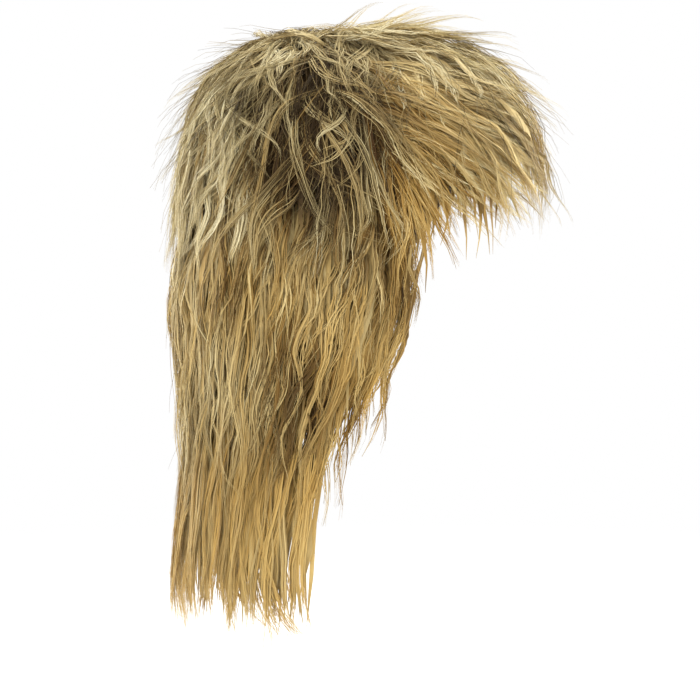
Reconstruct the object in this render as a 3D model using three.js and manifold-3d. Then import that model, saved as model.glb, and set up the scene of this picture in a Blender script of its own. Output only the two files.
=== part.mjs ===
// A shaggy layered costume wig in its worn form: a thin hollow cap, and the hair sewn round it as a
// fringe, a teased crown, two sides, an upper back and a long nape. Each piece of hair is one solid: a
// body ribbed into locks that end in tips, with loose locks fused to it.
// Millimetres, +Z up. The origin is the inside top of the cap, where the crown of a head bears.
// The face looks along -Y, and +X is the wearer's left.
import * as THREE from "three";
import { mergeVertices } from "three/addons/utils/BufferGeometryUtils.js";
import Module from "manifold-3d";

const wasm = await Module();
wasm.setup();
const { degToRad: radians, lerp, smoothstep } = THREE.MathUtils;

// Head that the cap is made for: an ellipsoid whose lower half is longer, for the jaw and nape.
const HEAD_HALF_WIDTH = 76;
const HEAD_HALF_LENGTH = 96;
const CROWN_HEIGHT = 105; // from the widest level up to the origin
const NAPE_REACH = 160; // half height of the lower ellipsoid

// Cap: a thin wall over the head, down to an edge that turns round the face and ears. Angles here and
// below are in degrees: azimuth 0 is the face, 90 the wearer's left, and polar is taken from the crown.
const CAP_WALL = 2;
const CAP_COLUMNS = 36;
const CAP_RINGS = 8;
const CAP_COLOUR = 0x3a3028;
const CAP_EDGE = [
  { place: "forehead", azimuth: 0, polar: 57 },
  { place: "temple", azimuth: 45, polar: 72 },
  { place: "ear tab", azimuth: 72, polar: 95 },
  { place: "over the ear", azimuth: 98, polar: 89 },
  { place: "behind the ear", azimuth: 125, polar: 103 },
  { place: "nape", azimuth: 180, polar: 112 },
];

// Hair, combed straight down from its roots
const ROOT_GAP = 1.6; // from the cap to the hair
const SIDE_THINNER = 0.26; // share by which the hair stands out less at the sides than at the back
const RIB_COLUMNS = 4; // facets across a lock
const RIB_DEPTH = 11; // how deep the grooves between locks are
const RIB_ROUND = 0.7; // exponent that rounds the top of a rib
const GROOVE_SHARE = 0.55; // the most of the hair's depth that a groove takes
const LOCK_UNEVEN = 0.3; // how far a groove is off its even place, as a share of a lock
const NOTCH = 30; // how far the grooves climb up from the tips
const TIPS_FROM = 0.3; // share of the length from which the tips differ
const LIFT_EASE = 6; // even exponent that keeps a lifted hem level in its middle
const LEAN = 3.5; // degrees that a tip leans to either side

// The way that the wig is worn: the long hair is combed back from the face, and falls in a slow wave.
const COMB_BACK = 30; // degrees of drift towards the nape, at the front edge
const COMB_EDGE = 72; // azimuth of that edge
const COMB_FADE = 1.6; // exponent by which the drift fades towards the nape
const COMB_TOP = -100;
const COMB_END = -400;
const SWAY = 1.2; // degrees
const SWAY_LENGTH = 42; // height for each radian of the wave
const SWAY_TURNS = 5; // waves round the head

const SCATTER_SPREAD = 43758.5; // makes the scatter of locks fine-grained

// Pieces of hair, each between two azimuths in a number of locks. Tips differ in height by ragged, fall
// by slant from the first azimuth to the last, and rise by lift towards both. The sections go from roots
// to tips: the outer surface is out from the head's widest outline at a height. The inner surface lies
// on the cap at a polar angle, or stands out by inner at the height under.
const PIECES = {
  nape_hair: {
    from: 100.8, to: 259.2, locks: 13, ragged: 12, slant: 0, lift: 0, colour: 0xb5935a,
    sections: [
      { out: 5, height: -120, polar: 96 },
      { out: 18, height: -160, polar: 104 },
      { out: 36, height: -205, inner: 8, under: -200 },
      { out: 50, height: -300, inner: 21, under: -295 },
      { out: 58, height: -345, inner: 30, under: -340 },
      { out: 72, height: -386, inner: 42, under: -380 },
      { out: 75, height: -410, inner: 56, under: -406 },
      { out: 73, height: -436, inner: 68, under: -434 },
    ],
  },
  back_hair: {
    from: 100.8, to: 259.2, locks: 12, ragged: 22, slant: 0, lift: 0, colour: 0xb2935c,
    sections: [
      { out: 6, height: -72, polar: 68 },
      { out: 34, height: -103, polar: 75 },
      { out: 55, height: -128, polar: 84 },
      { out: 67, height: -148, polar: 92 },
      { out: 73, height: -190, inner: 30, under: -172 },
      { out: 73, height: -235, inner: 44, under: -222 },
      { out: 69, height: -280, inner: 52, under: -272 },
      { out: 66, height: -325, inner: 60, under: -322 },
    ],
  },
  side_hair_left: {
    from: 72, to: 99.4, locks: 4, ragged: 10, slant: 100, lift: 0, colour: 0xb8965c,
    sections: [
      { out: 6, height: -72, polar: 67 },
      { out: 30, height: -102, polar: 75 },
      { out: 44, height: -130, polar: 85 },
      { out: 50, height: -160, inner: 9, under: -148 },
      { out: 52, height: -188, inner: 13, under: -183 },
      { out: 51, height: -214, inner: 19, under: -210 },
      { out: 48, height: -238, inner: 28, under: -235 },
      { out: 44, height: -258, inner: 38, under: -256 },
    ],
  },
  crown_hair: {
    from: 62.6, to: 297.4, locks: 17, ragged: 18, slant: 0, lift: 32, colour: 0xa58a58,
    sections: [
      { out: -75.5, height: 57, polar: 4 },
      { out: -45, height: 74, polar: 18 },
      { out: -8, height: 70, polar: 32 },
      { out: 32, height: 48, polar: 45 },
      { out: 58, height: 9, polar: 55 },
      { out: 68, height: -38, polar: 63 },
      { out: 73, height: -78, inner: 46, under: -86 },
      { out: 71, height: -118, inner: 64, under: -117 },
    ],
  },
  fringe: {
    from: -61.4, to: 61.4, locks: 10, ragged: 14, slant: 0, lift: 0, colour: 0xbd9d62,
    sections: [
      { out: -75.5, height: 58, polar: 4 },
      { out: -42, height: 80, polar: 18 },
      { out: -5, height: 79, polar: 31 },
      { out: 28, height: 60, polar: 42 },
      { out: 47, height: 26, polar: 50 },
      { out: 70, height: -22, polar: 55 },
      { out: 80, height: -58, inner: 40, under: -74 },
      { out: 76, height: -94, inner: 69, under: -94 },
    ],
  },
};
// The right side is the left one mirrored.
PIECES.side_hair_right = { ...PIECES.side_hair_left, mirrored: true };

// Loose locks, in rows of a number each, fused to the body of a piece: they leave it at their root, bend
// towards a crest and end in a pointed tip outside it.
const LOCK_STEPS = 4;
const LOCK_ROOT = 0.6; // share of the full width at the root
const LOCK_TIP = 0.1; // and at the tip
const LOCK_STRAY = 9; // how far a tip strays from its row
const LOCK_CENTRE = new THREE.Vector3(0, 0, -80); // locks lie flat to a form round this point
const LOOSE_LOCKS = [
  {
    piece: "crown_hair", from: 74, to: 286, count: 10, width: 30, depth: 15,
    root: { out: -25, height: 58 }, crest: { out: 40, height: 72 }, tip: { out: 77, height: 6 },
  },
  {
    piece: "crown_hair", from: 82, to: 278, count: 9, width: 28, depth: 14,
    root: { out: 30, height: 32 }, crest: { out: 66, height: 6 }, tip: { out: 78, height: -62 },
  },
  {
    piece: "fringe", from: -50, to: 50, count: 6, width: 30, depth: 15,
    root: { out: -30, height: 66 }, crest: { out: 36, height: 82 }, tip: { out: 73, height: -14 },
  },
  {
    piece: "fringe", from: -44, to: 44, count: 5, width: 28, depth: 14,
    root: { out: 38, height: 28 }, crest: { out: 74, height: -6 }, tip: { out: 86, height: -86 },
  },
];

/** A fixed scatter from -1 to 1, the same for the same keys on every run. */
function scatter(...keys) {
  const mixed = keys.reduce((sum, key, place) => sum + key * (place + 1) * Math.SQRT2, 1);
  const wide = Math.sin(mixed) * SCATTER_SPREAD;
  return 2 * (wide - Math.floor(wide)) - 1;
}

/** A point on the head's surface, or out from it by an offset. */
function onHead(azimuth, polar, offset = 0) {
  const a = radians(azimuth);
  const p = radians(polar);
  const reach = p < Math.PI / 2 ? CROWN_HEIGHT : NAPE_REACH;
  return new THREE.Vector3(
    (HEAD_HALF_WIDTH + offset) * Math.sin(p) * Math.sin(a),
    -(HEAD_HALF_LENGTH + offset) * Math.sin(p) * Math.cos(a),
    (reach + offset) * Math.cos(p) - CROWN_HEIGHT,
  );
}

/** How far an azimuth lies from the face, from 0 to 180, and the side that it is on. */
function fromFace(azimuth) {
  const turn = THREE.MathUtils.euclideanModulo(azimuth + 180, 360) - 180;
  return { angle: Math.abs(turn), side: turn < 0 ? -1 : 1 };
}

/** A point in the hair: out from the head's widest outline at a height, combed back and waved as worn. */
function inHair(azimuth, out, height) {
  const { angle, side } = fromFace(azimuth);
  const fall = 1 - smoothstep(height, COMB_END, COMB_TOP);
  const drift = COMB_BACK * fall * Math.min(1, (180 - angle) / (180 - COMB_EDGE)) ** COMB_FADE;
  const wave = Math.sin(height / SWAY_LENGTH + SWAY_TURNS * radians(angle));
  const sway = SWAY * fall * wave * Math.sin(radians(angle));
  const a = side * radians(angle + drift + sway);
  const fullness = 1 - SIDE_THINNER * Math.sin(a) ** 2;
  const reach = out > ROOT_GAP ? lerp(ROOT_GAP, out, fullness) : out;
  return new THREE.Vector3(
    (HEAD_HALF_WIDTH + reach) * Math.sin(a),
    -(HEAD_HALF_LENGTH + reach) * Math.cos(a),
    height,
  );
}

/** The polar angle of the cap's edge at an azimuth, eased from row to row of CAP_EDGE. */
function capEdge(azimuth) {
  const { angle } = fromFace(azimuth);
  const next = Math.max(1, CAP_EDGE.findIndex((row) => row.azimuth >= angle));
  const [a, b] = [CAP_EDGE[next - 1], CAP_EDGE[next]];
  return lerp(a.polar, b.polar, smoothstep(angle, a.azimuth, b.azimuth));
}

/** A closed solid from points and triangles. Triangles that close up to a line are left out. */
function solid(points, triangles) {
  const geometry = new THREE.BufferGeometry().setFromPoints(points).setIndex(triangles);
  const merged = mergeVertices(geometry, 1e-2);
  const index = [...merged.index.array];
  const kept = [];
  for (let i = 0; i < index.length; i += 3) {
    const corners = index.slice(i, i + 3);
    if (new Set(corners).size === 3) kept.push(...corners);
  }
  return new wasm.Manifold(
    new wasm.Mesh({
      numProp: 3,
      vertProperties: new Float32Array(merged.attributes.position.array),
      triVerts: new Uint32Array(kept),
    }),
  );
}

/** The geometry of a solid, for a THREE.Mesh. */
function geometryOf(made) {
  const mesh = made.getMesh();
  const geometry = new THREE.BufferGeometry();
  geometry.setAttribute("position", new THREE.BufferAttribute(mesh.vertProperties, mesh.numProp));
  geometry.setIndex(new THREE.BufferAttribute(mesh.triVerts, 1));
  geometry.computeVertexNormals();
  return geometry;
}

/** A wall between two grids of points, outer[row][column] and inner[row][column], closed at its edges. */
function wall(outer, inner, ring) {
  const rows = outer.length;
  const columns = outer[0].length;
  const points = [...outer.flat(), ...inner.flat()];
  const at = (side, row, column) => (side * rows + row) * columns + column;
  const triangles = [];
  const quad = (a, b, c, d) => triangles.push(a, b, c, a, c, d);
  const last = rows - 1;
  const end = columns - 1;
  for (let column = 0; column < end; column++) {
    for (let row = 0; row < last; row++) {
      quad(at(0, row, column), at(0, row + 1, column), at(0, row + 1, column + 1), at(0, row, column + 1));
      quad(at(1, row, column), at(1, row, column + 1), at(1, row + 1, column + 1), at(1, row + 1, column));
    }
    quad(at(0, last, column), at(1, last, column), at(1, last, column + 1), at(0, last, column + 1));
    quad(at(0, 0, column), at(0, 0, column + 1), at(1, 0, column + 1), at(1, 0, column));
  }
  for (let row = 0; row < last && !ring; row++) {
    quad(at(0, row, 0), at(1, row, 0), at(1, row + 1, 0), at(0, row + 1, 0));
    quad(at(0, row, end), at(0, row + 1, end), at(1, row + 1, end), at(1, row, end));
  }
  return solid(points, triangles);
}

/** The thin hollow cap. */
function cap() {
  const surface = (offset) =>
    Array.from({ length: CAP_RINGS + 1 }, (_, ring) =>
      Array.from({ length: CAP_COLUMNS + 1 }, (_, column) => {
        const azimuth = (360 * column) / CAP_COLUMNS;
        return onHead(azimuth, (capEdge(azimuth) * ring) / CAP_RINGS, offset);
      }),
    );
  return wall(surface(CAP_WALL), surface(0), true);
}

/** The columns of a piece: the azimuth of each, its height on its lock's rib, and how its tip lies. */
function columnsOf({ from, to, locks, ragged, slant, lift }) {
  const uneven = (i) => (i > 0 && i < locks ? LOCK_UNEVEN * scatter(from, i) : 0);
  const edge = (i) => (i + uneven(i)) / locks;
  return Array.from({ length: locks * RIB_COLUMNS + 1 }, (_, i) => {
    const index = Math.min(Math.floor(i / RIB_COLUMNS), locks - 1);
    const across = i / RIB_COLUMNS - index;
    const share = lerp(edge(index), edge(index + 1), across);
    const rib = Math.sin(Math.PI * across) ** RIB_ROUND;
    const hem = lift * (2 * share - 1) ** LIFT_EASE - slant * share;
    return {
      azimuth: lerp(from, to, share),
      rib,
      lean: LEAN * rib * scatter(to, index),
      tip: hem + ragged * scatter(locks, index) + NOTCH * (1 - rib),
    };
  });
}

/** The body of a piece of hair: a wall through its sections, ribbed into locks that end in tips. */
function hairBody(piece) {
  const columns = columnsOf(piece);
  const last = piece.sections.length - 1;
  const grids = { outer: [], inner: [] };
  piece.sections.forEach(({ out, height, polar, inner, under }, row) => {
    const free = smoothstep(row / last, TIPS_FROM, 1);
    const innerRow = columns.map(({ azimuth, lean, tip }) =>
      polar === undefined
        ? inHair(azimuth + lean * free, inner, under + tip * free)
        : onHead(azimuth, polar, CAP_WALL + ROOT_GAP),
    );
    const outerRow = columns.map(({ azimuth, rib, lean, tip }, column) => {
      const point = inHair(azimuth + lean * free, out, height + tip * free);
      const depth = point.distanceTo(innerRow[column]);
      return point.lerp(innerRow[column], Math.min(GROOVE_SHARE, RIB_DEPTH / depth) * (1 - rib));
    });
    grids.outer.push(outerRow);
    grids.inner.push(innerRow);
  });
  return wall(grids.outer, grids.inner, false);
}

/** One loose lock of a row: a lens-shaped section swept from root to tip. */
function looseLock({ from, to, count, width, depth, root, crest, tip }, index) {
  const azimuth = lerp(from, to, index / (count - 1));
  const stray = LOCK_STRAY * scatter(from, index);
  const curve = new THREE.QuadraticBezierCurve3(
    inHair(azimuth, root.out, root.height),
    inHair(azimuth, crest.out, crest.height),
    inHair(azimuth + LOCK_STRAY * scatter(to, index), tip.out + stray / 2, tip.height + stray),
  );
  const points = [];
  for (let step = 0; step <= LOCK_STEPS; step++) {
    const along = step / LOCK_STEPS;
    const centre = curve.getPoint(along);
    const forward = curve.getTangent(along);
    const outward = centre.clone().sub(LOCK_CENTRE).normalize();
    const across = new THREE.Vector3().crossVectors(outward, forward).normalize();
    const normal = new THREE.Vector3().crossVectors(forward, across);
    const full = Math.min(lerp(LOCK_ROOT, 1, 2 * along), lerp(LOCK_TIP, 1, 2 * (1 - along)));
    across.multiplyScalar((full * width) / 2);
    normal.multiplyScalar((full * depth) / 2);
    const corners = [across, normal, across.clone().negate(), normal.clone().negate()];
    points.push(...corners.map((corner) => corner.add(centre)));
  }
  const sides = 4;
  const end = sides * LOCK_STEPS;
  const triangles = [0, 2, 1, 0, 3, 2, end, end + 1, end + 2, end, end + 2, end + 3];
  for (let i = 0; i < end; i++) {
    const next = i - (i % sides) + ((i + 1) % sides);
    triangles.push(i, next, next + sides, i, next + sides, i + sides);
  }
  return solid(points, triangles);
}

/** A piece of hair: its body and the loose locks fused to it. */
function hair(name) {
  const rows = LOOSE_LOCKS.filter((row) => row.piece === name);
  const locks = rows.flatMap((row) => Array.from({ length: row.count }, (_, i) => looseLock(row, i)));
  return locks.reduce((made, lock) => made.add(lock), hairBody(PIECES[name]));
}

/** A named mesh in its own colour. */
function part(name, made, colour) {
  const material = new THREE.MeshStandardMaterial({ color: colour, roughness: 0.75, metalness: 0 });
  const mesh = new THREE.Mesh(geometryOf(made), material);
  mesh.name = name;
  return mesh;
}

const wig = new THREE.Group();
wig.name = "wig";
wig.add(part("wig_cap", cap(), CAP_COLOUR));
for (const [name, piece] of Object.entries(PIECES)) {
  const mesh = part(name, hair(name), piece.colour);
  if (piece.mirrored) mesh.scale.x = -1;
  wig.add(mesh);
}

export default wig;
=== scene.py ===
"""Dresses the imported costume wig: strands of hair in locks over a woven cap.

The forms of the hair are in millimetres. A floor, soft lights and a camera make the studio.
"""

import logging
import math
from dataclasses import dataclass, field, replace
from enum import Enum

import bpy
import numpy as np
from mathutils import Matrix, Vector


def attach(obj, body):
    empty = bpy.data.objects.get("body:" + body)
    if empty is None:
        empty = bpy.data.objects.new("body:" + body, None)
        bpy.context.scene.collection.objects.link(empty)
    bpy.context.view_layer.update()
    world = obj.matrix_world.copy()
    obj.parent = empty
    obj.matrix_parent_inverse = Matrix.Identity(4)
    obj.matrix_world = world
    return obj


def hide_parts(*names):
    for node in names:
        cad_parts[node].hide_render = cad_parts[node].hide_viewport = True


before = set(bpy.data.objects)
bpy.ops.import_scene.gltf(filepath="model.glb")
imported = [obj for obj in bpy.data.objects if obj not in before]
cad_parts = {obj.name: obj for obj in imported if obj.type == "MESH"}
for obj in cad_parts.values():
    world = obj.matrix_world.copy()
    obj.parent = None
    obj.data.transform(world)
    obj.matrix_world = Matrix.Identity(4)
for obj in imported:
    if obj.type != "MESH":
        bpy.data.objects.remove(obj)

LOG = logging.getLogger("wig")
MM = 0.001
BAKE_MAP = "OFBake"
BODY = "root"

Span = tuple[float, float]
Rgb = tuple[int, int, int]
Path = tuple[tuple[float, float], ...]
LockValues = dict[str, np.ndarray]


def linear(colour: Rgb) -> tuple[float, float, float, float]:
    """Turns an 8-bit screen colour into the linear one that a socket takes.

    Args:
        colour: red, green and blue from 0 to 255.

    Returns:
        Linear red, green and blue, and full opacity.
    """
    scaled = [c / 255 for c in colour]
    lin = [c / 12.92 if c <= 0.04045 else ((c + 0.055) / 1.055) ** 2.4 for c in scaled]
    return lin[0], lin[1], lin[2], 1.0


def ease(low: float, high: float, value: np.ndarray) -> np.ndarray:
    """Goes smoothly from 0, where a value is low or less, to 1, where it is high or more."""
    t = np.clip((value - low) / (high - low), 0.0, 1.0)
    return t * t * (3.0 - 2.0 * t)


def unit(vectors: np.ndarray) -> np.ndarray:
    """Scales vectors in the last axis to length 1."""
    return vectors / np.maximum(np.linalg.norm(vectors, axis=-1, keepdims=True), 1e-9)


class Slot(Enum):
    """The record's material slots."""

    CAP = "cap"
    HAIR = "hair"


def smooth_curve(points: tuple[tuple[float, ...], ...], fineness: int = 12) -> np.ndarray:
    """Runs a smooth curve through points.

    Args:
        points: the points that it passes.
        fineness: steps from one point to the next.

    Returns:
        The points of the curve.
    """
    given = np.array(points)
    ends = np.vstack([2 * given[0] - given[1], given, 2 * given[-1] - given[-2]])
    t = np.linspace(0.0, 1.0, fineness, endpoint=False)[:, None]
    spans = []
    for a, b, c, d in zip(ends, ends[1:], ends[2:], ends[3:]):
        square = 2 * a - 5 * b + 4 * c - d
        cube = 3 * b - a - 3 * c + d
        spans.append(0.5 * (2 * b + (c - a) * t + square * t**2 + cube * t**3))
    return np.vstack([*spans, given[-1:]])


def run_shares(line: np.ndarray) -> np.ndarray:
    """Gives how far along a curve each of its points lies, from 0 to 1."""
    lengths = np.concatenate([[0.0], np.cumsum(np.linalg.norm(np.diff(line, axis=0), axis=1))])
    return lengths / lengths[-1]


@dataclass(frozen=True)
class DarkZone:
    """A dark patch at each side of the hair, an ellipsoid in millimetres: by default that of the roots."""

    centre: tuple[float, float, float] = (95.0, 55.0, -22.0)
    reach: tuple[float, float, float] = (75.0, 78.0, 88.0)
    fade: Span = (0.55, 1.1)

    def share(self, points: np.ndarray) -> np.ndarray:
        """Gives how far points lie in the patch.

        Args:
            points: where to look, in millimetres.

        Returns:
            Values from 0 outside the patch to 1 in its middle.
        """
        folded = points.copy()
        folded[..., 0] = np.abs(points[..., 0])
        away = np.linalg.norm((folded - np.array(self.centre)) / np.array(self.reach), axis=-1)
        return 1.0 - ease(*self.fade, away)


@dataclass(frozen=True)
class WornForm:
    """How the hair lies round the head once it is combed back, in millimetres and degrees."""

    half_width: float = 76.0
    half_length: float = 96.0
    root_gap: float = 1.6
    side_thinner: float = 0.26
    comb_back: float = 30.0
    comb_edge: float = 72.0
    comb_fade: float = 1.6
    comb_top: float = -100.0
    comb_end: float = -400.0
    middle_height: float = -80.0
    shoulder_drop: float = 14.0
    whorl_back: float = 25.0
    whorl_reach: float = 120.0
    shoulder_out: Span = (-60.0, -5.0)
    shoulder_height: Span = (-60.0, 40.0)

    def place(self, azimuth: np.ndarray, out: np.ndarray, height: np.ndarray) -> np.ndarray:
        """Finds points in the hair.

        Args:
            azimuth: degrees round the head, 0 at the face and 90 at the wearer's left.
            out: distance from the head's widest outline.
            height: height over the inside top of the cap.

        Returns:
            Points in millimetres, in a last axis of 3.
        """
        turn = (azimuth + 180.0) % 360.0 - 180.0
        angle = np.abs(turn)
        fall = 1.0 - ease(self.comb_end, self.comb_top, height)
        share = np.minimum(1.0, (180.0 - angle) / (180.0 - self.comb_edge))
        combed = np.radians(angle + self.comb_back * fall * share**self.comb_fade)
        a = np.where(turn < 0, -1.0, 1.0) * combed
        fullness = 1.0 - self.side_thinner * np.sin(a) ** 2
        reach = np.where(out > self.root_gap, self.root_gap + (out - self.root_gap) * fullness, out)
        x = (self.half_width + reach) * np.sin(a)
        y = -(self.half_length + reach) * np.cos(a) + self.whorl_back * self.near_whorl(out)
        shoulder = ease(*self.shoulder_out, out) * ease(*self.shoulder_height, height)
        return np.stack([x, y, height - self.shoulder_drop * shoulder * np.sin(a) ** 2], axis=-1)

    def near_whorl(self, out: np.ndarray) -> np.ndarray:
        """Gives how near places are to the whorl on top, from 1 there to 0 away from it."""
        return 1.0 - ease(0.0, self.whorl_reach, self.half_width + out)

    def outward(self, points: np.ndarray) -> np.ndarray:
        """Gives the direction out of the hair.

        Args:
            points: where to look, in millimetres.

        Returns:
            Directions of length 1, from the middle of the head, or from its axis below.
        """
        away = points.copy()
        away[..., 2] = np.maximum(points[..., 2] - self.middle_height, 0.0)
        return unit(away)


@dataclass(frozen=True)
class Fall:
    """A layer of hair from root to tip, in millimetres.

    Its points (out, height, thickness) lie on its outer surface.
    """

    points: tuple[tuple[float, float, float], ...]

    end_points = 4

    def at(self, share: np.ndarray) -> tuple[np.ndarray, np.ndarray, np.ndarray]:
        """Finds places along the fall.

        Args:
            share: 0 at the root and 1 at the tip; past 1 the fall goes straight on.

        Returns:
            The out and height of each place, and how thick the layer is there.
        """
        line = smooth_curve(self.points)
        lengths = run_shares(line[:, :2])
        past = np.maximum(share - 1.0, 0.0)
        end = -self.end_points
        slope = (line[-1] - line[end]) / (lengths[-1] - lengths[end])
        out = np.interp(share, lengths, line[:, 0]) + past * slope[0]
        height = np.interp(share, lengths, line[:, 1]) + past * slope[1]
        return out, height, np.interp(share, lengths, line[:, 2])


@dataclass(frozen=True)
class Shade:
    """Where strands lie on the hair's palette: tone runs from dark to pale, warmth from ash to golden."""

    tone: float = 0.6
    warmth: float = 0.4
    lock_spread: float = 0.08
    strand_spread: float = 0.07
    warmth_spread: float = 0.11
    front_warmth: float = 0.0
    front_pale: float = 0.0
    root_dark: float = 0.3
    root_share: float = 0.35
    tip_pale: float = 0.08
    tip_warm: float = 0.0
    # Painted shade: tone lost per millimetre that a strand lies below the outer surface.
    painted_depth_shade: float = 0.012
    patch: float = 0.1
    patch_size: float = 34.0
    zone: DarkZone = DarkZone()
    zone_dark: float = 0.0
    zone_contrast: float = 0.0
    warm_patch: float = 0.09
    warm_size: float = 40.0


@dataclass(frozen=True)
class Member:
    """One kind of strand in a lock: a flat ribbon of many fibres, or a fine strand.

    Width and rise are in millimetres. Thick and the widths at root and tip are shares of the width.
    """

    count: int
    width: float
    thick: float
    reach: float = 1.0
    rise: float = 0.0
    tone: float = 0.0
    streaks: float = 0.003
    tip_width: float = 0.15
    root_width: float = 0.25
    taper: float = 0.5
    roll: float = 0.4


@dataclass(frozen=True)
class Fan:
    """How the roots of locks are drawn together towards a place at each side of the head, in degrees."""

    centre: float = 98.0
    share: float = 0.0
    near: float = 30.0
    far: float = 80.0

    def roots(self, tips: np.ndarray) -> np.ndarray:
        """Draws roots together.

        Args:
            tips: the azimuths of the tips.

        Returns:
            The azimuths of the roots.
        """
        side = np.where(tips > 180.0, 360.0 - tips, tips)
        mark = np.sign(side) * self.centre
        away = side - mark
        keep = (1.0 - self.share) + self.share * ease(self.near, self.far, np.abs(away))
        root = mark + away * keep
        return np.where(tips > 180.0, 360.0 - root, root)


@dataclass(frozen=True)
class LockStyle:
    """One kind of lock: where it grows and how it runs. Lengths are in millimetres, angles in degrees.

    Spans are the least and the most of a value that differs from lock to lock. Root and length are shares
    of the fall. A path, as points of azimuth and share, takes the place of the fan, root and length.
    """

    locks: int
    steps: int
    members: tuple[Member, ...]
    azimuths: Span
    root: Span
    length: Span
    shade: Shade
    spread: float = 4.5
    depth: Span = (0.0, 8.0)
    root_depth: float = 9.0
    bow: Span = (0.0, 0.0)
    fan: Fan = Fan()
    slant: float = 0.0
    sweep: float = 1.0
    drop: float = 1.0
    wander: float = 4.0
    bend: float = 2.0
    aside: float = 0.0
    wave: Span = (2.0, 6.0)
    wave_length: Span = (60.0, 110.0)
    frizz: float = 0.6
    lift: Span = (0.0, 4.0)
    gather: float = 0.3
    uneven: float = 0.1
    longest: float = 1.05
    crimp: Span = (24.0, 46.0)
    path: Path = ()


@dataclass
class Strands:
    """Many strands of as many points each: their lines, facing, widths and places on the palette."""

    line: np.ndarray
    across: np.ndarray
    width: np.ndarray
    thick: float
    streaks: float
    tone: np.ndarray
    warmth: np.ndarray

    sides = 3
    ridge = 2
    palette_run = 0.02
    warmth_limits = (0.05, 0.95)
    tone_limits = (0.02, 0.96)

    def corners(self) -> np.ndarray:
        """Finds the three corners of every strand's section.

        Returns:
            Points, in the axes strand, step, side and 3.
        """
        along = unit(np.gradient(self.line, axis=1))
        normal = unit(np.cross(along, self.across))
        across = np.cross(normal, along)
        half = self.width[..., None] / 2
        rise = self.width[..., None] * self.thick
        left = self.line - across * half - normal * rise / 3
        right = self.line + across * half - normal * rise / 3
        ridge = self.line + normal * rise * 2 / 3
        return np.stack([left, right, ridge], axis=2)

    def palette(self) -> np.ndarray:
        """Finds the place of every corner on the palette.

        Returns:
            Warmth and tone, in the axes strand, step, side and 2.
        """
        steps = self.line.shape[1]
        offsets = np.array([-self.streaks, self.streaks, 0.0])
        u = np.clip(self.warmth[..., None], *self.warmth_limits) + offsets
        run = self.palette_run * np.linspace(0.0, 1.0, steps)[None, :, None]
        v = np.clip(self.tone[..., None], *self.tone_limits) + run
        return np.stack(np.broadcast_arrays(u, v), axis=-1)

    def faces(self) -> tuple[np.ndarray, np.ndarray]:
        """Lists the faces of the strands.

        Returns:
            The side quads and the end triangles, by the numbers of their corners.
        """
        count, steps = self.line.shape[:2]
        number = np.arange(count * steps * self.sides).reshape(count, steps, self.sides)
        after = np.roll(number, -1, axis=2)
        quads = np.stack([number[:, :-1], after[:, :-1], after[:, 1:], number[:, 1:]], axis=-1)
        ends = np.concatenate([number[:, 0, ::-1], number[:, -1]])
        return quads.reshape(-1, 4), ends.reshape(-1, 3)


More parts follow.
